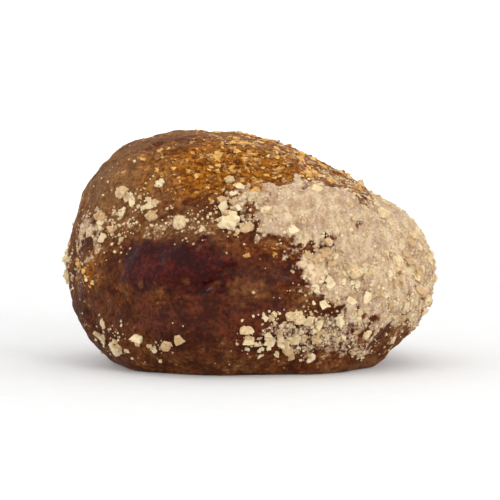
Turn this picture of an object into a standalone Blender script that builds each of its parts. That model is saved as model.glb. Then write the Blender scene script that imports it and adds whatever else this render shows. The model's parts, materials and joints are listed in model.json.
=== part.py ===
"""A hand-pressed lump of jaggery, as one closed solid.

The lump is a dome that leans to one side, pressed from a soft ball by a palm and fingers and then
set down, so that it has a flat base. Units are metres, +Z is up and the front faces -Y. The flat
base lies on z = 0, and the origin is under the middle of the lump's box.
"""

import math

import bmesh
import bpy
from mathutils import Vector, noise

# Driving dimensions
WIDTH = 0.054  # side to side, along X
DEPTH = 0.050  # front to back, along Y
HEIGHT = 0.034  # flat base to crown, along Z

# The heart is the point that every press is measured from
HEART_HEIGHT = 0.38 * HEIGHT
REACH = WIDTH / 2

# How finely the ball is divided, and how sharply two presses meet
CUTS_PER_SIDE = 25
CRISPNESS = 9.0

# Each press flattens one side of the ball: the way it faces (degrees anticlockwise from +X, then
# degrees above the horizon) and how far from the heart it stops, as a share of REACH
PRESSES = (
    (0, 90, 0.850),  # crown
    (180, 72, 0.905),  # left shoulder of the crown
    (3, 62, 0.745),  # palm, the long slope on the right
    (-4, 37, 1.080),  # right brow, where the palm rolled off
    (0, 0, 1.030),  # right side
    (180, 40, 1.170),  # left brow
    (180, 17, 1.160),  # left cheek
    (180, -4, 1.040),  # left side
    (-98, 50, 0.870),  # front brow
    (-88, 6, 0.960),  # front
    (-45, 12, 1.000),  # front right corner
    (-137, 16, 0.990),  # front left corner
    (88, 42, 0.930),  # back brow
    (93, 2, 0.960),  # back
    (42, 20, 0.960),  # back right corner
    (137, 14, 1.000),  # back left corner
    (0, -90, 0.640),  # the board it was set down on
)

# The same under the widest level, all round, where the lump rolls in to its base
UNDER_PRESSES = 7
UNDER_SLOPE = -46
UNDER_SHARE = 0.900

# Three fingers closed round the back, and the thumb rested on the palm's slope
FINGERS = 3
FIRST_FINGER = 88
FINGER_STEP = 31
FINGER_SLOPE = 18
FINGER_SIZE = 0.0070
FINGER_DEPTH = 0.0023
THUMB_WAY = (-28, 47)
THUMB_SIZE = 0.0090
THUMB_DEPTH = 0.0020

# The fold across the front, where the last of the ball was turned under: it climbs to the right
FOLD_CENTRE = -100
FOLD_HALF_ANGLE = 66
FOLD_HEIGHT = 0.36 * HEIGHT
FOLD_CLIMB = 0.0042
FOLD_WIDTH = 0.0026
FOLD_DEPTH = 0.0020
LIP_DROP = 0.0050
LIP_WIDTH = 0.0036
LIP_HEIGHT = 0.0009

# Uneven surface: (size of the swellings, their height), coarse to fine
SWELLINGS = ((0.0150, 0.0016), (0.0062, 0.0009), (0.0034, 0.0004))

# The soft surface evens itself out: how often each point moves half way to its neighbours
SETTLE_ROUNDS = 2


def clear_scene():
    for thing in list(bpy.data.objects):
        bpy.data.objects.remove(thing, do_unlink=True)


def toward(around, above):
    """The unit vector this many degrees round from +X and above the horizon."""
    a, e = math.radians(around), math.radians(above)
    return Vector((math.cos(a) * math.cos(e), math.sin(a) * math.cos(e), math.sin(e)))


def all_presses():
    """Every press as a direction and a distance from the heart in metres."""
    named = [(toward(around, above), share * REACH) for around, above, share in PRESSES]
    step = 360 / UNDER_PRESSES
    under = [(toward(i * step, UNDER_SLOPE), UNDER_SHARE * REACH) for i in range(UNDER_PRESSES)]
    return named + under


def round_ball():
    """A bmesh cube of even squares, blown up to a ball of radius 1."""
    ball = bmesh.new()
    bmesh.ops.create_cube(ball, size=2.0)
    bmesh.ops.subdivide_edges(ball, edges=ball.edges[:], cuts=CUTS_PER_SIDE, use_grid_fill=True)
    for point in ball.verts:
        evened = [math.tan(c * math.pi / 4) for c in point.co]
        point.co = Vector(evened).normalized()
    return ball


def press(ball, presses):
    """Moves each point along its ray to the pressed surface, a soft minimum of the flats."""
    for point in ball.verts:
        ray = point.co.normalized()
        nearness = 0.0
        for facing, distance in presses:
            nearness += (max(ray.dot(facing), 0.0) / distance) ** CRISPNESS
        point.co = ray * nearness ** (-1 / CRISPNESS)


def dent(ball, way, size, depth):
    """Pushes a round hollow into the side that lies this way from the heart."""
    facing = toward(*way)
    centre = max(ball.verts, key=lambda point: point.co.normalized().dot(facing)).co.copy()
    for point in ball.verts:
        away = (point.co - centre).length / size
        point.co -= facing * depth * math.exp(-away * away)


def finger_marks(ball):
    for finger in range(FINGERS):
        dent(ball, (FIRST_FINGER + finger * FINGER_STEP, FINGER_SLOPE), FINGER_SIZE, FINGER_DEPTH)
    dent(ball, THUMB_WAY, THUMB_SIZE, THUMB_DEPTH)


def bell(distance, width):
    return math.exp(-((distance / width) ** 2))


def fold(ball):
    """Draws a groove across the front, with a rounded lip below it."""
    half = math.radians(FOLD_HALF_ANGLE)
    for point in ball.verts:
        turn = math.atan2(point.co.y, point.co.x) - math.radians(FOLD_CENTRE)
        turn = math.remainder(turn, math.tau)
        if abs(turn) > half:
            continue
        fade = math.cos(turn / half * math.pi / 2) ** 0.7
        height = point.co.z + HEART_HEIGHT - FOLD_HEIGHT - FOLD_CLIMB * math.sin(turn * 1.4)
        groove = FOLD_DEPTH * bell(height, FOLD_WIDTH)
        lip = LIP_HEIGHT * bell(height + LIP_DROP, LIP_WIDTH)
        point.co += point.co.normalized() * fade * (lip - groove)


def swell(ball):
    """Adds the uneven swellings of sticky sugar, along each point's ray."""
    for point in ball.verts:
        ray = point.co.normalized()
        rise = 0.0
        for layer, (size, height) in enumerate(SWELLINGS):
            shifted = point.co / size + Vector((11.3 * layer, 4.7, -2.9))
            rise += height * noise.noise(shifted)
        point.co += ray * rise


def settle(ball):
    for _ in range(SETTLE_ROUNDS):
        bmesh.ops.smooth_vert(
            ball, verts=ball.verts[:], factor=0.5, use_axis_x=True, use_axis_y=True, use_axis_z=True
        )


def size_of(ball):
    """The lowest corner of the ball's box, and the box's three sides."""
    sides = [sorted(point.co[axis] for point in ball.verts) for axis in range(3)]
    low = Vector([side[0] for side in sides])
    return low, Vector([side[-1] for side in sides]) - low


def set_down(ball):
    """Cuts the flat base, fits the lump to its driving dimensions and stands it on the origin."""
    everything = ball.verts[:] + ball.edges[:] + ball.faces[:]
    base = Vector((0, 0, -HEART_HEIGHT))
    cut = bmesh.ops.bisect_plane(
        ball, geom=everything, plane_co=base, plane_no=(0, 0, -1), clear_outer=True
    )
    rim = [part for part in cut["geom_cut"] if isinstance(part, bmesh.types.BMEdge)]
    bmesh.ops.holes_fill(ball, edges=rim)
    low, sides = size_of(ball)
    middle = low + sides / 2
    for point in ball.verts:
        point.co.x = (point.co.x - middle.x) * WIDTH / sides.x
        point.co.y = (point.co.y - middle.y) * DEPTH / sides.y
        point.co.z = (point.co.z - low.z) * HEIGHT / sides.z
    bmesh.ops.recalc_face_normals(ball, faces=ball.faces[:])


def jaggery_material():
    material = bpy.data.materials.new("jaggery")
    material.use_nodes = True
    shader = material.node_tree.nodes["Principled BSDF"]
    shader.inputs["Base Color"].default_value = (0.29, 0.12, 0.04, 1.0)
    shader.inputs["Roughness"].default_value = 0.6
    shader.inputs["Metallic"].default_value = 0.0
    return material


def make_lump(collection):
    ball = round_ball()
    press(ball, all_presses())
    finger_marks(ball)
    fold(ball)
    swell(ball)
    settle(ball)
    set_down(ball)
    mesh = bpy.data.meshes.new("jaggery_lump")
    ball.to_mesh(mesh)
    ball.free()
    mesh.materials.append(jaggery_material())
    mesh.shade_smooth()
    mesh.set_sharp_from_angle(angle=math.radians(50))
    lump = bpy.data.objects.new("jaggery_lump", mesh)
    collection.objects.link(lump)
    return lump


def main():
    clear_scene()
    collection = bpy.data.collections.new("jaggery")
    bpy.context.scene.collection.children.link(collection)
    make_lump(collection)


main()
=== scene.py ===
"""A hand-pressed lump of jaggery on a pale studio floor.

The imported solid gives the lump's size and shape. Here it gets a fine skin with swells, dimples,
pits and creases, patches of amber, tan, dark syrup and pale dry crust, and the sugar that clings
to it: thin amber chips, loose grains, crumbs and a few large clumps. Lengths are in metres.
"""

import json
import math
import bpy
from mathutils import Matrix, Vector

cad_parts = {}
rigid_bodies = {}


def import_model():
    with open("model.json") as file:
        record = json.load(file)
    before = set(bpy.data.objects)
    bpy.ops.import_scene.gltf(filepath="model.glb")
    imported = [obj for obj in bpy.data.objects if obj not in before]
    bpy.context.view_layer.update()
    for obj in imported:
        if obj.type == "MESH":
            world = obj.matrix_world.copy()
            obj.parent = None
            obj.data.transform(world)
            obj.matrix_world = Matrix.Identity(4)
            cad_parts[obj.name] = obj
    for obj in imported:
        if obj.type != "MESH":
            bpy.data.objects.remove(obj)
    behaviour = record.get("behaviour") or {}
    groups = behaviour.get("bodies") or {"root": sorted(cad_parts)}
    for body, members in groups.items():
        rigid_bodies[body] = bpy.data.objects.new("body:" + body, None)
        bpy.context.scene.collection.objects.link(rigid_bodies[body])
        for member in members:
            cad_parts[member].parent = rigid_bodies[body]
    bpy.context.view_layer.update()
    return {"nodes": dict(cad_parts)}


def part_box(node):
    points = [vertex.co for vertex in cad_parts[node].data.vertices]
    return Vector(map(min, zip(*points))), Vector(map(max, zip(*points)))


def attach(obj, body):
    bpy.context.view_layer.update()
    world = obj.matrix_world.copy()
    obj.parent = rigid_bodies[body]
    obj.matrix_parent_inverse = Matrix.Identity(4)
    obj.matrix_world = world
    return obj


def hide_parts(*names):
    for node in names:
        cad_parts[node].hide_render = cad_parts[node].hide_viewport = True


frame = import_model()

from types import SimpleNamespace

import bpy
import numpy as np
from mathutils import Vector, noise

LUMP = "jaggery_lump"
LOW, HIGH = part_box(LUMP)
SIDES = Vector(HIGH) - Vector(LOW)
MM = 0.001

# The size of the skin's mesh cells, and how many rounds it settles for before it gets its relief
SKIN_CELL = 0.33 * MM
SETTLE_ROUNDS = 26

# The way the amber was drawn out as it set: down to the right across the front
PULL_ANGLE = math.radians(31)

# Patches of the skin: (place in the lump's box as shares of its sides, half sizes in mm, strength).
# The first share runs from left to right, the second from front to back, the third upwards.
CRUST = (
    ((0.86, 0.22, 0.46), (15.0, 17.0, 10.5), 1.0),
    ((0.66, 0.10, 0.67), (12.5, 10.0, 4.6), 1.0),
    ((0.93, 0.42, 0.64), (8.0, 13.0, 6.5), 1.0),
    ((0.98, 0.62, 0.36), (9.0, 15.0, 8.0), 0.9),
    ((0.01, 0.20, 0.60), (5.5, 9.0, 5.5), 0.95),
    ((0.79, 0.40, 0.82), (7.5, 12.0, 3.6), 0.50),
    ((0.22, 0.04, 0.63), (11.0, 8.0, 3.2), 0.42),
    ((0.70, 0.04, 0.18), (8.0, 8.0, 3.4), 0.6),
    ((0.20, 0.88, 0.50), (14.0, 8.0, 6.5), 0.62),
    ((0.66, 0.98, 0.72), (11.0, 7.0, 4.5), 0.6),
    ((0.80, 0.84, 0.30), (10.0, 9.0, 5.0), 0.7),
)
AMBER = (
    ((0.50, 0.22, 0.86), (17.0, 12.0, 6.4), 1.0),
    ((0.62, 0.66, 0.94), (14.0, 11.0, 5.0), 1.0),
    ((0.79, 0.40, 0.80), (8.5, 14.0, 4.5), 0.9),
    ((0.56, 0.04, 0.50), (7.0, 6.0, 2.0), 0.25),
    ((0.82, 0.90, 0.55), (8.0, 8.0, 6.0), 0.8),
    ((0.04, 0.22, 0.42), (5.0, 7.0, 4.0), 0.6),
)
TAN = (
    ((0.00, 0.16, 0.58), (7.0, 9.0, 5.5), 1.0),
    ((0.24, 0.04, 0.62), (11.0, 8.0, 3.4), 0.9),
    ((0.14, 0.30, 0.80), (9.5, 16.0, 8.0), 1.0),
    ((0.40, 0.46, 1.02), (15.0, 13.0, 2.6), 0.9),
    ((0.72, 0.24, 0.84), (9.0, 11.0, 4.0), 0.35),
    ((0.30, 0.92, 0.78), (10.0, 8.0, 6.0), 1.0),
    ((0.00, 0.60, 0.62), (7.0, 9.0, 7.0), 0.9),
)
SYRUP = (
    ((0.28, 0.04, 0.44), (13.0, 9.0, 4.6), 1.0),
    ((0.54, 0.02, 0.44), (8.0, 7.0, 3.4), 0.8),
    ((0.40, 0.02, 0.24), (15.0, 9.0, 5.5), 0.75),
    ((0.10, 0.20, 0.26), (9.0, 9.0, 4.0), 0.5),
    ((0.46, 1.00, 0.36), (11.0, 8.0, 7.0), 1.0),
    ((0.03, 0.66, 0.30), (7.0, 9.0, 5.5), 0.8),
    ((0.98, 0.95, 0.20), (9.0, 9.0, 4.0), 0.7),
)
CRUMBLY = (
    ((0.12, 0.16, 0.63), (5.0, 6.0, 2.6), 1.0),
    ((0.20, 0.14, 0.70), (4.0, 5.0, 2.4), 0.8),
    ((0.33, 0.06, 0.65), (6.0, 5.0, 2.0), 1.0),
    ((0.46, 0.05, 0.68), (5.0, 6.0, 4.0), 1.0),
    ((0.74, 0.08, 0.42), (6.0, 8.0, 3.6), 1.0),
    ((0.93, 0.20, 0.40), (6.0, 12.0, 6.0), 1.0),
    ((0.62, 0.02, 0.20), (10.0, 8.0, 4.0), 0.7),
    ((0.16, 0.10, 0.12), (8.0, 8.0, 2.6), 0.6),
    ((0.20, 0.90, 0.48), (13.0, 8.0, 5.0), 0.9),
    ((0.98, 0.70, 0.35), (8.0, 12.0, 4.0), 0.8),
    ((0.66, 1.00, 0.66), (12.0, 6.0, 4.0), 0.9),
    ((0.05, 0.50, 0.40), (6.0, 9.0, 4.0), 0.7),
)

# How each kind of patch ends: (how ragged its edge is, out to what share of its half sizes it is
# whole, and at what share it has faded out)
CRUST_EDGE = (1.0, 0.55, 1.24)
AMBER_EDGE = (1.2, 0.45, 1.25)
TAN_EDGE = (1.1, 0.62, 1.25)
SYRUP_EDGE = (1.1, 0.60, 1.20)
CRUMBLY_EDGE = (1.5, 0.60, 1.20)

# How thick the crust lies on the skin
CRUST_THICKNESS = 0.2 * MM

# The skin's relief, in the order it is laid on: name, kind of noise, its size and the height in mm,
# where it goes, the brightness that stays level, and the noise's own settings
RELIEFS = (
    ("swells", "CLOUDS", 6.0, 1.0, "all", 0.5, {"noise_depth": 1}),
    ("dimples", "CLOUDS", 2.3, 0.45, "all", 0.5, {"noise_depth": 1}),
    ("heaps", "VORONOI", 3.4, -0.9, "heaped", 0.4, {}),
    ("clods", "VORONOI", 1.7, -0.55, "loose", 0.35, {}),
    ("grains", "VORONOI", 0.8, -0.30, "loose", 0.35, {}),
    ("rough", "CLOUDS", 1.1, 0.22, "all", 0.5, {"noise_depth": 3}),
    ("pits", "VORONOI", 6.0, -0.5, "all", 0.0, {}),
    ("creases", "VORONOI", 13.0, -0.45, "creased", 0.0, {"weight_1": -1.0, "weight_2": 1.0}),
)

# Pits and creases are only the darkest spots and lines of their noise: (where, how bright)
RELIEF_STOPS = {
    "pits": ((0.0, 1.0), (0.07, 0.8), (0.15, 0.0)),
    "creases": ((0.0, 1.0), (0.03, 0.5), (0.08, 0.0)),
}

# The colours, from dark to light, each 0 to 255 as it looks on a screen
BROWN_TONES = ((80, 37, 15), (132, 78, 40))
TAN_TONES = ((110, 67, 35), (156, 110, 68))
AMBER_TONES = ((102, 49, 6), (197, 121, 25))
SYRUP_TONES = ((42, 4, 2), (84, 18, 6))
WARM_CRUST_TONES = ((186, 148, 119), (220, 190, 162))
PALE_CRUST_TONES = ((210, 179, 142), (238, 214, 178))
AMBER_SUGAR_TONES = ((120, 64, 14), (232, 174, 90))
PALE_SUGAR_TONES = ((202, 166, 122), (240, 218, 176))
PAPER_TONES = ((227, 227, 227), (229, 229, 229))
CRYSTAL_COLOUR = (206, 160, 108)
# Painted shade: the dark brown laid into the deepest hollows, pits and creases of the relief
HOLLOW_SHADE_COLOUR = (70, 34, 16)

# What is strewn over the skin. Sizes and the least gap are in mm, and a piece leans and twists
# from its place by up to these angles in radians.
STREWN = (
    {
        "name": "amber_chips",
        "shapes": "chips",
        "here": "chip_here",
        "per_square_mm": 13.0,
        "apart": 0.20,
        "sizes": (0.3, 1.9),
        "lean": 0.2,
        "twist": 0.9,
        "seed": 11,
    },
    {
        "name": "sugar_grains",
        "shapes": "grains",
        "here": "grain_here",
        "per_square_mm": 3.2,
        "apart": 0.30,
        "sizes": (0.22, 0.60),
        "lean": 0.6,
        "twist": 3.2,
        "seed": 23,
    },
    {
        "name": "sugar_crumbs",
        "shapes": "crumbs",
        "here": "crumb_here",
        "per_square_mm": 3.0,
        "apart": 0.30,
        "sizes": (0.4, 2.4),
        "lean": 0.4,
        "twist": 3.2,
        "seed": 37,
    },
)

# Strewn pieces are mostly small: the higher this power, the rarer the large ones
MOSTLY_SMALL = 2.6

# Broken sugar keeps an edge sharp where its faces meet at more than this many degrees
BROKEN_EDGE = 38

# Large clumps on the front: (left to right share, upward share, width in mm)
CLUMPS = (
    (0.113, 0.635, 2.3),
    (0.167, 0.735, 2.2),
    (0.268, 0.775, 1.6),
    (0.245, 0.640, 1.9),
    (0.322, 0.618, 2.3),
    (0.448, 0.625, 3.3),
    (0.450, 0.790, 1.6),
    (0.540, 0.675, 1.7),
    (0.690, 0.500, 2.0),
    (0.760, 0.420, 2.3),
    (0.880, 0.460, 2.2),
    (0.940, 0.390, 2.6),
    (0.620, 0.250, 2.2),
)

# How much a point's depth counts when the spot for a clump is sought from the front
DEPTH_SHARE = 0.05

# A clump is modelled about this wide, from balls that spiral out by the golden angle
CLUMP_WIDTH = 1.9
CLUMP_BALLS = 7
GOLDEN_ANGLE = 2.399

# The clumps' tones step through the range by this share, so that neighbours differ
TONE_STEP = 0.382

# The studio: a round floor that curves up into a low wall, and three round lamps, each given as
# (name, place, width, power, colour)
FLOOR_RADIUS = 1.3
CURVE_RADIUS = 0.5
CURVE_STEPS = 8
LAMPS = (
    ("key", (0.34, -0.52, 0.26), 0.18, 1.15, (1.0, 0.985, 0.965)),
    ("fill", (-0.50, -0.42, 0.20), 0.40, 0.18, (1.0, 0.99, 0.98)),
    ("top", (0.05, 0.15, 0.60), 0.35, 0.28, (1.0, 0.99, 0.975)),
)
ROOM_LIGHT = 0.08

# Painted light: the paper glows faintly, weakly near the lump and more out at the wall: (how far
# away, how strong)
GLOW_NEAR = (0.1, 0.09)
GLOW_FAR = (1.2, 0.40)

# The camera: its lens in mm, how many lump widths it takes in, how far it looks down, and the
# share of the lump's height that it looks at
LENS = 150
SHOWN_WIDTHS = 1.36
LOOK_DOWN = math.radians(3)
AIM_HEIGHT = 0.48


# --- Small helpers -------------------------------------------------------------------------------


def shade(red, green, blue):
    """A colour given as it looks on a screen, 0 to 255, as the shaders need it."""
    linear = []
    for part in (red, green, blue):
        part = part / 255
        linear.append(part / 12.92 if part <= 0.04045 else ((part + 0.055) / 1.055) ** 2.4)
    return (*linear, 1.0)


def pick(thing):
    """Leaves this object the only selected one, and the active one."""
    for other in bpy.context.view_layer.objects:
        other.select_set(False)
    thing.select_set(True)
    bpy.context.view_layer.objects.active = thing


def join(things):
    """Joins the objects into the first, and brings its place into its mesh."""
    pick(things[0])
    for thing in things:
        thing.select_set(True)
    bpy.ops.object.join()
    bpy.ops.object.transform_apply(location=True, rotation=True, scale=True)
    return bpy.context.object


def add_modifier(thing, kind, **settings):
    modifier = thing.modifiers.new(kind.lower(), kind)
    for name, value in settings.items():
        setattr(modifier, name, value)
    return modifier


def apply_modifiers(thing):
    pick(thing)
    for modifier in list(thing.modifiers):
        bpy.ops.object.modifier_apply(modifier=modifier.name)


def edit(thing):
    """Opens the object in edit mode with all of it selected."""
    pick(thing)
    bpy.ops.object.mode_set(mode="EDIT")
    bpy.ops.mesh.select_all(action="SELECT")


def leave_edit():
    bpy.ops.object.mode_set(mode="OBJECT")


def points_of(mesh):
    places = np.empty(len(mesh.vertices) * 3, np.float32)
    mesh.vertices.foreach_get("co", places)
    return places.reshape(-1, 3)


def normals_of(mesh):
    normals = np.empty(len(mesh.vertices) * 3, np.float32)
    mesh.vertex_normals.foreach_get("vector", normals)
    return normals.reshape(-1, 3)


def store(mesh, name, values):
    """Keeps one number for each point on the mesh, for the materials and the scatter."""
    layer = mesh.attributes.new(name, "FLOAT", "POINT")
    layer.data.foreach_set("value", np.ascontiguousarray(values, np.float32))


def smooth_step(low, high, values):
    share = np.clip((values - low) / (high - low), 0, 1)
    return share * share * (3 - 2 * share)


def cloud(points, size, shift, octaves=4):
    """Soft noise between about -1 and 1 at each point, with swells of this size."""
    off = Vector((shift, -1.7 * shift, 0.6 * shift))
    scaled = [Vector(point) / size + off for point in points.tolist()]
    return np.array([noise.fractal(place, 0.9, 2.0, octaves) for place in scaled], np.float32)


def fill(tree, socket, value):
    """Sets a socket to a number or a colour, or links it to another node's output."""
    if isinstance(value, bpy.types.NodeSocket):
        tree.links.new(value, socket)
    else:
        socket.default_value = value


def node(tree, kind, inputs=None, **settings):
    """Adds a node, sets it up, and fills its inputs with numbers or with other nodes' outputs."""
    made = tree.nodes.new(kind)
    for name, value in settings.items():
        setattr(made, name, value)
    for name, value in (inputs or {}).items():
        fill(tree, made.inputs[name], value)
    return made


def reckoned(tree, kind, first, second):
    """The result of one Math node."""
    return node(tree, "ShaderNodeMath", {0: first, 1: second}, operation=kind).outputs[0]


def relief_texture(name, kind, size, stops=(), **settings):
    """A noise to displace with. Stops remap it with a black and white ramp."""
    texture = bpy.data.textures.new(name, kind)
    texture.noise_scale = size
    for key, value in settings.items():
        setattr(texture, key, value)
    if stops:
        texture.use_color_ramp = True
        ramp = texture.color_ramp
        while len(ramp.elements) < len(stops):
            ramp.elements.new(0.5)
        for element, (where, bright) in zip(ramp.elements, stops):
            element.position = where
            element.color = (bright, bright, bright, 1.0)
    return texture


# --- Skin ----------------------------------------------------------------------------------------


def copied_lump():
    """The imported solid's mesh as a new object, with its loose triangles joined."""
    mesh = frame["nodes"][LUMP].data.copy()
    mesh.materials.clear()
    skin = bpy.data.objects.new("jaggery_skin", mesh)
    bpy.context.scene.collection.objects.link(skin)
    edit(skin)
    bpy.ops.mesh.remove_doubles(threshold=0.00001)
    leave_edit()
    return skin


def zone(points, patches, ragged, edge):
    """How far each point lies in any of these patches, 0 to 1, with edges frayed by the noise."""
    fraying, whole, gone = edge
    found = np.zeros(len(points), np.float32)
    for place, half_sizes, strength in patches:
        centre = np.array([LOW[i] + place[i] * SIDES[i] for i in range(3)])
        away = np.linalg.norm((points - centre) / (np.array(half_sizes) * MM), axis=1)
        inside = 1 - smooth_step(whole, gone, away + fraying * ragged)
        found = np.maximum(found, strength * inside)
    return found


def find_zones(points):
    """What the sugar is like at each point of the settled skin, in shares from 0 to 1."""
    broad = cloud(points, 6.5 * MM, 3.1)
    drift = cloud(points, 8.0 * MM, 12.9)
    patchy = cloud(points, 2.4 * MM, 8.7)
    fine = cloud(points, 0.9 * MM, 5.3, octaves=2)
    ragged = 0.28 * broad + 0.26 * patchy + 0.24 * fine
    tan = zone(points, TAN, ragged, TAN_EDGE)
    syrup = zone(points, SYRUP, ragged, SYRUP_EDGE)

    # Tan and syrup also show faintly in drifts all over, the syrup less so towards the crown
    height = (points[:, 2] - LOW[2]) / SIDES.z
    low_down = 1 - 0.7 * smooth_step(0.55, 0.75, height)
    tan = np.maximum(tan, 0.55 * smooth_step(0.05, 0.45, drift + 0.3 * patchy))
    syrup = np.maximum(syrup, 0.55 * low_down * smooth_step(0.10, 0.50, 0.4 * patchy - drift))
    return SimpleNamespace(
        crust=zone(points, CRUST, ragged, CRUST_EDGE),
        amber=zone(points, AMBER, ragged, AMBER_EDGE),
        crumbly=zone(points, CRUMBLY, ragged, CRUMBLY_EDGE),
        tan=tan,
        syrup=syrup,
        drift=drift,
        lumpy=smooth_step(-0.1, 0.5, patchy),
    )


def weight_group(thing, name, weights):
    """A vertex group, in steps of one hundredth so that it is quick to fill."""
    group = thing.vertex_groups.new(name=name)
    steps = np.round(np.clip(weights, 0, 1) * 100).astype(int)
    for step in range(1, 101):
        chosen = np.flatnonzero(steps == step)
        if len(chosen):
            group.add(chosen.tolist(), step / 100, "REPLACE")


def mark_reliefs(skin, points, zones):
    """Vertex groups that say where each relief goes. All fade out towards the flat base."""
    crust, crumbly = zones.crust, zones.crumbly
    above = smooth_step(0.3 * MM, 2.0 * MM, points[:, 2])
    weight_group(skin, "all", above)
    weight_group(skin, "loose", np.clip(0.12 + 0.75 * crust + 0.5 * crumbly, 0, 1) * above)
    weight_group(skin, "heaped", np.clip(crust * crumbly, 0, 1) * above)
    weight_group(skin, "coated", smooth_step(0.3, 0.7, crust) * above)
    weight_group(skin, "creased", smooth_step(0.0, 0.4, zones.drift) * above)


def lay_on_reliefs(skin):
    add_modifier(
        skin, "DISPLACE", strength=CRUST_THICKNESS, mid_level=0.0, vertex_group="coated"
    )
    for name, kind, size, height, group, level, settings in RELIEFS:
        stops = RELIEF_STOPS.get(name, ())
        add_modifier(
            skin,
            "DISPLACE",
            texture=relief_texture(name, kind, size * MM, stops, **settings),
            texture_coords="LOCAL",
            direction="NORMAL",
            strength=height * MM,
            mid_level=level,
            vertex_group=group,
        )
    apply_modifiers(skin)


def flatten_base(mesh):
    points = points_of(mesh)
    points[:, 2] = np.maximum(points[:, 2], LOW[2])
    mesh.vertices.foreach_set("co", points.ravel())
    mesh.update()
    return points


def make_skin():
    skin = copied_lump()
    add_modifier(skin, "REMESH", mode="VOXEL", voxel_size=SKIN_CELL, use_smooth_shade=True)
    add_modifier(skin, "SMOOTH", factor=0.5, iterations=SETTLE_ROUNDS)
    apply_modifiers(skin)
    settled = points_of(skin.data)
    zones = find_zones(settled)
    mark_reliefs(skin, settled, zones)
    lay_on_reliefs(skin)

    mesh = skin.data
    shaped = flatten_base(mesh)
    crust, crumbly, amber, lumpy = zones.crust, zones.crumbly, zones.amber, zones.lumpy
    clear = smooth_step(1.0 * MM, 2.5 * MM, shaped[:, 2])
    grain_here = np.clip(0.05 * (1 - zones.syrup) + 0.9 * crust + 0.5 * crumbly, 0, 1)
    crumb_here = np.clip(crumbly * (0.2 + lumpy) + 0.2 * crust * lumpy, 0, 1)
    store(mesh, "crust", crust)
    store(mesh, "amber", amber)
    store(mesh, "tan", zones.tan)
    store(mesh, "syrup", zones.syrup)
    store(mesh, "relief", ((shaped - settled) * normals_of(mesh)).sum(axis=1) / MM)
    store(mesh, "grain_here", grain_here * clear)
    store(mesh, "crumb_here", crumb_here * clear)
    store(mesh, "chip_here", amber * (1 - crust) * (0.12 + 0.88 * lumpy) * clear)
    return skin


# --- Materials -----------------------------------------------------------------------------------


def new_material(name, **values):
    material = bpy.data.materials.new(name)
    material.use_nodes = True
    shader = material.node_tree.nodes["Principled BSDF"]
    for socket, value in values.items():
        shader.inputs[socket.replace("_", " ")].default_value = value
    return material, material.node_tree, shader


def attribute(tree, name):
    return node(tree, "ShaderNodeAttribute", attribute_name=name).outputs["Fac"]


def speckle(tree, place, size, detail=4.0, roughness=0.55):
    values = {"Vector": place, "Scale": 1 / size, "Detail": detail, "Roughness": roughness}
    return node(tree, "ShaderNodeTexNoise", values).outputs["Fac"]


def cells(tree, place, size):
    return node(tree, "ShaderNodeTexVoronoi", {"Vector": place, "Scale": 1 / size})


def stretched(tree, place, turn, scale):
    """The place as a pattern reads it when it is turned, and drawn out along its own axes."""
    values = {"Vector": place, "Rotation": turn, "Scale": scale}
    return node(tree, "ShaderNodeMapping", values, vector_type="TEXTURE").outputs[0]


def remap(tree, value, low, high, to_low=0.0, to_high=1.0):
    values = {
        "Value": value,
        "From Min": low,
        "From Max": high,
        "To Min": to_low,
        "To Max": to_high,
    }
    return node(tree, "ShaderNodeMapRange", values, interpolation_type="SMOOTHSTEP").outputs[0]


def sum_of(tree, first, second):
    return reckoned(tree, "ADD", first, second)


def times(tree, first, second):
    return reckoned(tree, "MULTIPLY", first, second)


def varied(tree, value, *layers):
    """The value with patterns added: (pattern, its low and high, what they add) for each."""
    for pattern, low, high, least, most in layers:
        value = sum_of(tree, value, remap(tree, pattern, low, high, least, most))
    return value


def mixed(tree, share, under, over):
    """One colour laid over another."""
    values = {0: share, 6: under, 7: over}
    return node(tree, "ShaderNodeMix", values, data_type="RGBA").outputs[2]


def between(tree, share, under, over):
    """A number that goes from one to the other."""
    values = {0: share, 2: under, 3: over}
    return node(tree, "ShaderNodeMix", values, data_type="FLOAT").outputs[0]


def two_tone(tree, value, low, high, tones):
    dark, light = tones
    return mixed(tree, remap(tree, value, low, high), shade(*dark), shade(*light))


def bumped(tree, heights):
    """One Bump node after another: (height, how strong, how far in metres)."""
    normal = None
    for height, strength, distance in heights:
        values = {"Height": height, "Strength": strength, "Distance": distance}
        if normal:
            values["Normal"] = normal
        normal = node(tree, "ShaderNodeBump", values).outputs["Normal"]
    return normal


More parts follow.
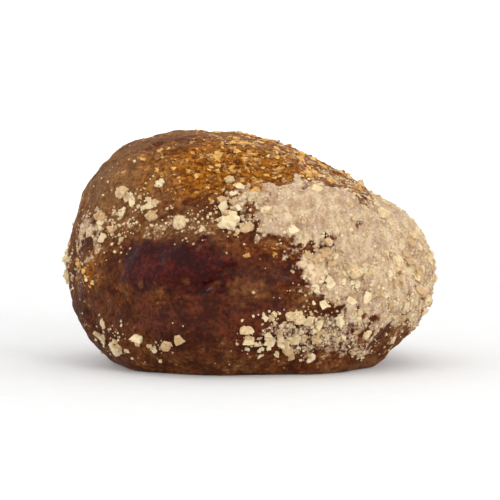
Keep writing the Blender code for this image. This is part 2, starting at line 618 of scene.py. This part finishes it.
def skin_patterns(tree):
    """All that the skin's colour, gloss and bump are made from."""
    place = node(tree, "ShaderNodeTexCoord").outputs["Object"]
    drawn_out = stretched(tree, place, (0, PULL_ANGLE, 0), (4.5, 1, 1))
    run_down = stretched(tree, place, (0, 0, 0), (1, 1, 3.5))
    crystals = cells(tree, place, 0.42 * MM)
    crystal = node(tree, "ShaderNodeSeparateColor", {0: crystals.outputs["Color"]}).outputs[0]
    broad = speckle(tree, place, 7 * MM)
    patchy = speckle(tree, place, 2.2 * MM, detail=6.0, roughness=0.6)
    fine = speckle(tree, place, 0.55 * MM, detail=6.0, roughness=0.7)
    crust = attribute(tree, "crust")
    relief = attribute(tree, "relief")
    syrup = attribute(tree, "syrup")
    mottle = varied(
        tree,
        patchy,
        (crystal, 0.0, 1.0, -0.11, 0.11),
        (fine, 0.3, 0.7, -0.11, 0.11),
        (broad, 0.3, 0.7, -0.08, 0.08),
    )
    dusty = varied(
        tree,
        crust,
        (broad, 0.45, 0.75, 0.0, 0.10),
        (mottle, 0.5, 0.8, 0.0, 0.15),
        (relief, -0.7, 0.2, -0.2, 0.05),
        (fine, 0.3, 0.7, -0.16, 0.14),
        (patchy, 0.35, 0.65, -0.16, 0.06),
    )
    pulled = speckle(tree, drawn_out, 0.55 * MM)
    washed = speckle(tree, run_down, 1.1 * MM)
    return SimpleNamespace(
        crystal=crystal,
        crystal_edge=crystals.outputs["Distance"],
        patchy=patchy,
        fine=fine,
        mottle=mottle,
        flaky=varied(tree, pulled, (crystal, 0.0, 1.0, -0.12, 0.12)),
        powdery=varied(tree, washed, (fine, 0.3, 0.7, -0.08, 0.08)),
        dusty=sum_of(tree, dusty, times(tree, syrup, -0.2)),
        relief=relief,
        crust=crust,
        syrup=syrup,
        amber=attribute(tree, "amber"),
        tan=attribute(tree, "tan"),
    )


def skin_colour(tree, seen):
    """Brown, then tan, amber, syrup and crust over it, then single crystals, then painted shade in
    the deepest hollows.
    """
    tan_tone = two_tone(tree, seen.mottle, 0.22, 0.74, TAN_TONES)
    amber_tone = two_tone(tree, seen.flaky, 0.30, 0.76, AMBER_TONES)
    syrup_tone = two_tone(tree, seen.mottle, 0.36, 0.80, SYRUP_TONES)
    warm_crust = two_tone(tree, seen.powdery, 0.24, 0.74, WARM_CRUST_TONES)
    pale_crust = two_tone(tree, seen.powdery, 0.24, 0.74, PALE_CRUST_TONES)
    crust_tone = mixed(tree, remap(tree, seen.patchy, 0.42, 0.62), warm_crust, pale_crust)
    golden = times(tree, seen.amber, remap(tree, seen.tan, 0.0, 1.0, 1.0, 0.6))
    in_patches = remap(tree, seen.patchy, 0.48, 0.62)
    sparkle = times(tree, remap(tree, seen.crystal, 0.88, 0.96), in_patches)
    sparkle = times(tree, sparkle, remap(tree, seen.syrup, 0.2, 0.8, 0.45, 0.0))
    # Painted shade: the skin darkens towards this dark brown where the relief sinks deepest
    hollow_shade = remap(tree, seen.relief, -0.45, -1.1, 0.0, 0.5)

    colour = two_tone(tree, seen.mottle, 0.28, 0.74, BROWN_TONES)
    colour = mixed(tree, seen.tan, colour, tan_tone)
    colour = mixed(tree, golden, colour, amber_tone)
    colour = mixed(tree, seen.syrup, colour, syrup_tone)
    colour = mixed(tree, remap(tree, seen.dusty, 0.25, 0.80), colour, crust_tone)
    colour = mixed(tree, sparkle, colour, shade(*CRYSTAL_COLOUR))
    return mixed(tree, hollow_shade, colour, shade(*HOLLOW_SHADE_COLOUR))


def skin_material():
    material, tree, shader = new_material(
        "jaggery_skin",
        Subsurface_Weight=0.12,
        Subsurface_Radius=(1.0, 0.42, 0.18),
        Subsurface_Scale=0.0014,
        Specular_IOR_Level=0.06,
        Coat_Roughness=0.1,
        Coat_IOR=1.35,
    )
    seen = skin_patterns(tree)
    fill(tree, shader.inputs["Base Color"], skin_colour(tree, seen))

    # Syrup is glossy, amber less so, and crust is dull
    dull = between(tree, seen.syrup, 0.66, 0.24)
    dull = between(tree, times(tree, seen.amber, 0.8), dull, 0.36)
    dull = between(tree, seen.crust, dull, 0.86)
    dull = varied(tree, dull, (seen.fine, 0.3, 0.7, -0.12, 0.14))
    fill(tree, shader.inputs["Roughness"], dull)

    # Bare syrup also has a thin wet film
    bare = remap(tree, seen.dusty, 0.35, 0.0)
    wet = times(tree, remap(tree, seen.syrup, 0.45, 0.95), bare)
    fill(tree, shader.inputs["Coat Weight"], times(tree, wet, 0.22))

    # The grain is fine all over and nearly smooth on the syrup
    grainy = remap(tree, seen.syrup, 0.2, 0.8, 1.0, 0.25)
    heights = (
        (times(tree, seen.fine, grainy), 0.85, 0.36 * MM),
        (times(tree, seen.crystal_edge, grainy), 0.8, -0.30 * MM),
        (seen.patchy, 0.5, 0.6 * MM),
    )
    fill(tree, shader.inputs["Normal"], bumped(tree, heights))
    return material


def sugar_material(name, tones, rough, see_in, bump):
    """Sugar that varies from piece to piece, from a dark tone to a light one."""
    material, tree, shader = new_material(
        name,
        Subsurface_Weight=see_in,
        Subsurface_Radius=(1.0, 0.7, 0.4),
        Subsurface_Scale=0.0008,
        Specular_IOR_Level=0.2,
        IOR=1.53,
    )
    place = node(tree, "ShaderNodeTexCoord").outputs["Object"]
    fine = speckle(tree, place, 0.5 * MM, detail=5.0, roughness=0.65)
    tone = varied(tree, attribute(tree, "tone"), (fine, 0.3, 0.7, -0.3, 0.3))
    worn = remap(tree, fine, 0.3, 0.7, rough - 0.1, rough + 0.1)
    fill(tree, shader.inputs["Base Color"], two_tone(tree, tone, 0.0, 1.0, tones))
    fill(tree, shader.inputs["Roughness"], worn)
    fill(tree, shader.inputs["Normal"], bumped(tree, ((fine, bump, 0.25 * MM),)))
    return material


# --- Shapes of the loose sugar -------------------------------------------------------------------
# Each is modelled about two units across, and is scaled when it is placed.


def broken(thing, place, cuts, kept):
    """Breaks a shape up by noise, then thins its mesh to this share so that flat faces remain.
    The noise is read at this place, so that no two shapes break alike. Cuts are (size, height)."""
    thing.location = place
    for size, height in cuts:
        clouds = relief_texture("crumble", "CLOUDS", size, noise_depth=1)
        add_modifier(thing, "DISPLACE", texture=clouds, texture_coords="GLOBAL", strength=height)
        apply_modifiers(thing)
    thing.location = (0, 0, 0)
    add_modifier(thing, "DECIMATE", ratio=kept)
    apply_modifiers(thing)
    return thing


def chip(number):
    """A thin glassy flake of sugar, longer than it is wide."""
    bpy.ops.mesh.primitive_ico_sphere_add(subdivisions=3, radius=0.9)
    thing = bpy.context.object
    edit(thing)
    bpy.ops.transform.resize(value=(1.0, 0.40 + 0.12 * number, 0.30))
    leave_edit()
    return broken(thing, (7.0 * number, 2.0, 0.0), ((0.65, 0.9),), kept=0.03)


def grain(number):
    """A single coarse sugar grain: a cube with its corners cut off."""
    bpy.ops.mesh.primitive_cube_add(size=1.5)
    thing = bpy.context.object
    edit(thing)
    bpy.ops.mesh.bevel(offset=0.28, segments=1, affect="VERTICES")
    bpy.ops.transform.resize(value=(1.0, 0.75 + 0.1 * number, 0.8))
    leave_edit()
    return thing


def crumb(number):
    """A crumb: a ball broken up by noise, with flat faces where it snapped."""
    bpy.ops.mesh.primitive_ico_sphere_add(subdivisions=4, radius=0.8)
    thing = bpy.context.object
    edit(thing)
    bpy.ops.transform.resize(value=(1.0, 0.62 + 0.1 * number, 0.62))
    leave_edit()
    return broken(thing, (5.0 * number, 1.0, 3.0), ((0.75, 1.5), (0.30, 0.5)), kept=0.025)


def clump(number):
    """A clump: several balls grown into one and roughened."""
    balls = []
    for ball in range(CLUMP_BALLS):
        angle = GOLDEN_ANGLE * (ball + 3 * number)
        reach = 0.28 + 0.07 * ball
        place = (reach * math.cos(angle), reach * math.sin(angle), 0.12 * (ball % 3))
        radius = 0.46 - 0.025 * ball
        bpy.ops.mesh.primitive_ico_sphere_add(subdivisions=3, radius=radius, location=place)
        balls.append(bpy.context.object)
    thing = join(balls)
    add_modifier(thing, "REMESH", mode="VOXEL", voxel_size=0.085)
    apply_modifiers(thing)
    return broken(thing, (9.0 * number, 4.0, 1.0), ((0.40, 0.55), (0.16, 0.22)), kept=0.35)


def model_shapes(name, count, build, material):
    """A collection with this many shapes of one kind, for the scatter to choose from."""
    collection = bpy.data.collections.new(name)
    bpy.context.scene.collection.children.link(collection)
    for number in range(count):
        thing = build(number)
        thing.data.materials.append(material)
        thing.data.shade_smooth()
        thing.data.set_sharp_from_angle(angle=math.radians(BROKEN_EDGE))
        for old in list(thing.users_collection):
            old.objects.unlink(thing)
        collection.objects.link(thing)
    return collection


def clear_shapes(collections):
    for collection in collections:
        for thing in list(collection.objects):
            bpy.data.objects.remove(thing, do_unlink=True)
        bpy.data.collections.remove(collection)


# --- Sugar that clings to the skin ---------------------------------------------------------------


def strewn_points(tree, here, per_square_mm, apart, seed):
    """Points on the surface, thickest where the named attribute is high."""
    surface = node(tree, "NodeGroupInput").outputs["Geometry"]
    where = node(tree, "GeometryNodeInputNamedAttribute", {"Name": here}, data_type="FLOAT")
    values = {
        "Mesh": surface,
        "Distance Min": apart * MM,
        "Density Max": per_square_mm / MM**2,
        "Density Factor": where.outputs["Attribute"],
        "Seed": seed,
    }
    kind = "GeometryNodeDistributePointsOnFaces"
    return node(tree, kind, values, distribute_method="POISSON").outputs


def lying(tree, upright, lean, twist, seed):
    """Lays each piece flat along the pull, then leans and twists it at random."""
    values = {"Min": (-lean, -lean, -twist), "Max": (lean, lean, twist), "Seed": seed}
    turned = node(tree, "FunctionNodeRandomValue", values, data_type="FLOAT_VECTOR")
    turn = node(tree, "FunctionNodeEulerToRotation", {"Euler": turned.outputs[0]})
    values = {"Rotation": upright, "Vector": (1.0, 0.0, -math.tan(PULL_ANGLE))}
    along = node(tree, "FunctionNodeAlignRotationToVector", values, axis="X", pivot_axis="Z")
    values = {"Rotation": along.outputs[0], "Rotate By": turn.outputs[0]}
    return node(tree, "FunctionNodeRotateRotation", values, rotation_space="LOCAL").outputs[0]


def scaled(tree, sizes, seed):
    """A scale for each piece, from the smallest size to the largest, mostly small."""
    chance = node(tree, "FunctionNodeRandomValue", {"Seed": seed}, data_type="FLOAT")
    small = reckoned(tree, "POWER", chance.outputs[1], MOSTLY_SMALL)
    values = {"Value": small, "To Min": sizes[0] * MM / 2, "To Max": sizes[1] * MM / 2}
    return node(tree, "ShaderNodeMapRange", values).outputs[0]


def scatter_tree(name, shapes, here, per_square_mm, apart, sizes, lean, twist, seed):
    """Nodes that strew copies of the shapes over a surface, each with a tone of its own."""
    tree = bpy.data.node_groups.new(name, "GeometryNodeTree")
    tree.interface.new_socket("Geometry", in_out="INPUT", socket_type="NodeSocketGeometry")
    tree.interface.new_socket("Geometry", in_out="OUTPUT", socket_type="NodeSocketGeometry")
    spots = strewn_points(tree, here, per_square_mm, apart, seed)
    values = {"Collection": shapes, "Separate Children": True, "Reset Children": True}
    choice = node(tree, "GeometryNodeCollectionInfo", values)
    values = {
        "Points": spots["Points"],
        "Instance": choice.outputs[0],
        "Pick Instance": True,
        "Rotation": lying(tree, spots["Rotation"], lean, twist, seed + 1),
        "Scale": scaled(tree, sizes, seed + 2),
    }
    placed = node(tree, "GeometryNodeInstanceOnPoints", values)
    tone = node(tree, "FunctionNodeRandomValue", {"Seed": seed + 3}, data_type="FLOAT")
    values = {"Geometry": placed.outputs[0], "Name": "tone", "Value": tone.outputs[1]}
    kind = "GeometryNodeStoreNamedAttribute"
    toned = node(tree, kind, values, data_type="FLOAT", domain="INSTANCE")
    real = node(tree, "GeometryNodeRealizeInstances", {"Geometry": toned.outputs[0]})
    node(tree, "NodeGroupOutput", {"Geometry": real.outputs[0]})
    return tree


def scatter(skin, shapes, name, **rule):
    """Strews shapes over a copy of the skin, and keeps only them, as one mesh."""
    thing = bpy.data.objects.new(name, skin.data.copy())
    bpy.context.scene.collection.objects.link(thing)
    modifier = add_modifier(thing, "NODES")
    modifier.node_group = scatter_tree(name, shapes, **rule)
    apply_modifiers(thing)
    return thing


def place_clumps(skin, shapes):
    """Copies of the clumps, half sunk in the front at their own places, joined in one mesh."""
    points = points_of(skin.data)
    normals = normals_of(skin.data)
    copies = []
    for number, (across, up, width) in enumerate(CLUMPS):
        # The nearest point as seen from the front, and of those the one furthest forward
        aim = np.array([LOW[0] + across * SIDES[0], LOW[2] + up * SIDES[2]])
        off = np.linalg.norm(points[:, [0, 2]] - aim, axis=1)
        nearest = int((off + DEPTH_SHARE * (points[:, 1] - LOW[1])).argmin())
        thing = shapes[number % len(shapes)].copy()
        thing.data = thing.data.copy()
        bpy.context.scene.collection.objects.link(thing)
        store(thing.data, "tone", np.full(len(thing.data.vertices), number * TONE_STEP % 1))
        thing.rotation_mode = "QUATERNION"
        thing.rotation_quaternion = Vector(normals[nearest].tolist()).to_track_quat("Z", "Y")
        thing.scale = (width * MM / CLUMP_WIDTH,) * 3
        thing.location = points[nearest].tolist()
        copies.append(thing)
    clumps = join(copies)
    clumps.name = "sugar_clumps"
    return clumps


def make_lump():
    skin = make_skin()
    skin.data.materials.append(skin_material())
    skin.data.shade_smooth()

    amber = sugar_material("amber_sugar", AMBER_SUGAR_TONES, rough=0.3, see_in=0.3, bump=0.3)
    pale = sugar_material("pale_sugar", PALE_SUGAR_TONES, rough=0.8, see_in=0.25, bump=1.0)
    shapes = {
        "chips": model_shapes("chips", 3, chip, amber),
        "grains": model_shapes("grains", 3, grain, pale),
        "crumbs": model_shapes("crumbs", 4, crumb, pale),
        "clumps": model_shapes("clumps", 3, clump, pale),
    }
    pieces = [skin]
    for rule in STREWN:
        pieces.append(scatter(skin, **{**rule, "shapes": shapes[rule["shapes"]]}))
    pieces.append(place_clumps(skin, list(shapes["clumps"].objects)))
    clear_shapes(shapes.values())
    for piece in pieces:
        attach(piece, "root")
    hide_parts(LUMP)


# --- Studio --------------------------------------------------------------------------------------


def make_floor():
    """A round floor that curves up into a low wall, so that every view has the same pale ground."""
    bpy.ops.mesh.primitive_circle_add(vertices=96, radius=FLOOR_RADIUS, fill_type="NGON")
    floor = bpy.context.object
    floor.name = "studio_floor"
    edit(floor)
    height = 0.0
    reach = FLOOR_RADIUS
    for step in range(1, CURVE_STEPS + 1):
        angle = step / CURVE_STEPS * math.pi / 2
        rise = CURVE_RADIUS * (1 - math.cos(angle)) - height
        grow = (FLOOR_RADIUS + CURVE_RADIUS * math.sin(angle)) / reach
        bpy.ops.mesh.extrude_region_move(TRANSFORM_OT_translate={"value": (0, 0, rise)})
        bpy.ops.transform.resize(value=(grow, grow, 1))
        height += rise
        reach *= grow
    leave_edit()
    floor.data.shade_smooth()

    material, tree, shader = new_material(
        "studio_paper", Roughness=0.9, Emission_Color=(1.0, 1.0, 1.0, 1.0)
    )
    place = node(tree, "ShaderNodeTexCoord").outputs["Object"]
    fibre = speckle(tree, place, 4 * MM)
    away = node(tree, "ShaderNodeVectorMath", {0: place}, operation="LENGTH").outputs["Value"]
    # Painted light: the paper's glow grows from near the lump out to the wall
    glow = remap(tree, away, GLOW_NEAR[0], GLOW_FAR[0], GLOW_NEAR[1], GLOW_FAR[1])
    fill(tree, shader.inputs["Base Color"], two_tone(tree, fibre, 0.3, 0.7, PAPER_TONES))
    fill(tree, shader.inputs["Emission Strength"], glow)
    floor.data.materials.append(material)


def aim_at(thing, target):
    """Turns a lamp or the camera to look from its place at the target."""
    thing.rotation_mode = "QUATERNION"
    thing.rotation_quaternion = (target - thing.location).to_track_quat("-Z", "Y")


def make_lights():
    for name, place, width, power, colour in LAMPS:
        lamp = bpy.data.lights.new(name, "AREA")
        lamp.shape = "DISK"
        lamp.size = width
        lamp.energy = power
        lamp.color = colour
        light = bpy.data.objects.new(name, lamp)
        bpy.context.scene.collection.objects.link(light)
        light.location = place
        aim_at(light, Vector((0, 0, SIDES.z / 2)))
    world = bpy.data.worlds.new("studio")
    world.use_nodes = True
    room = world.node_tree.nodes["Background"]
    room.inputs["Color"].default_value = (1.0, 1.0, 1.0, 1.0)
    room.inputs["Strength"].default_value = ROOM_LIGHT
    bpy.context.scene.world = world
    bpy.context.scene.view_settings.view_transform = "Standard"


def make_camera():
    """Nearly level with the lump, square on to its front."""
    camera = bpy.data.objects.new("camera", bpy.data.cameras.new("camera"))
    bpy.context.scene.collection.objects.link(camera)
    camera.data.lens = LENS
    camera.data.clip_start = 0.01
    away = SHOWN_WIDTHS * SIDES.x * LENS / camera.data.sensor_width
    middle = Vector((0, 0, AIM_HEIGHT * SIDES.z))
    camera.location = middle + away * Vector((0, -math.cos(LOOK_DOWN), math.sin(LOOK_DOWN)))
    aim_at(camera, middle)
    bpy.context.scene.camera = camera


make_camera()
make_lump()
make_floor()
make_lights()
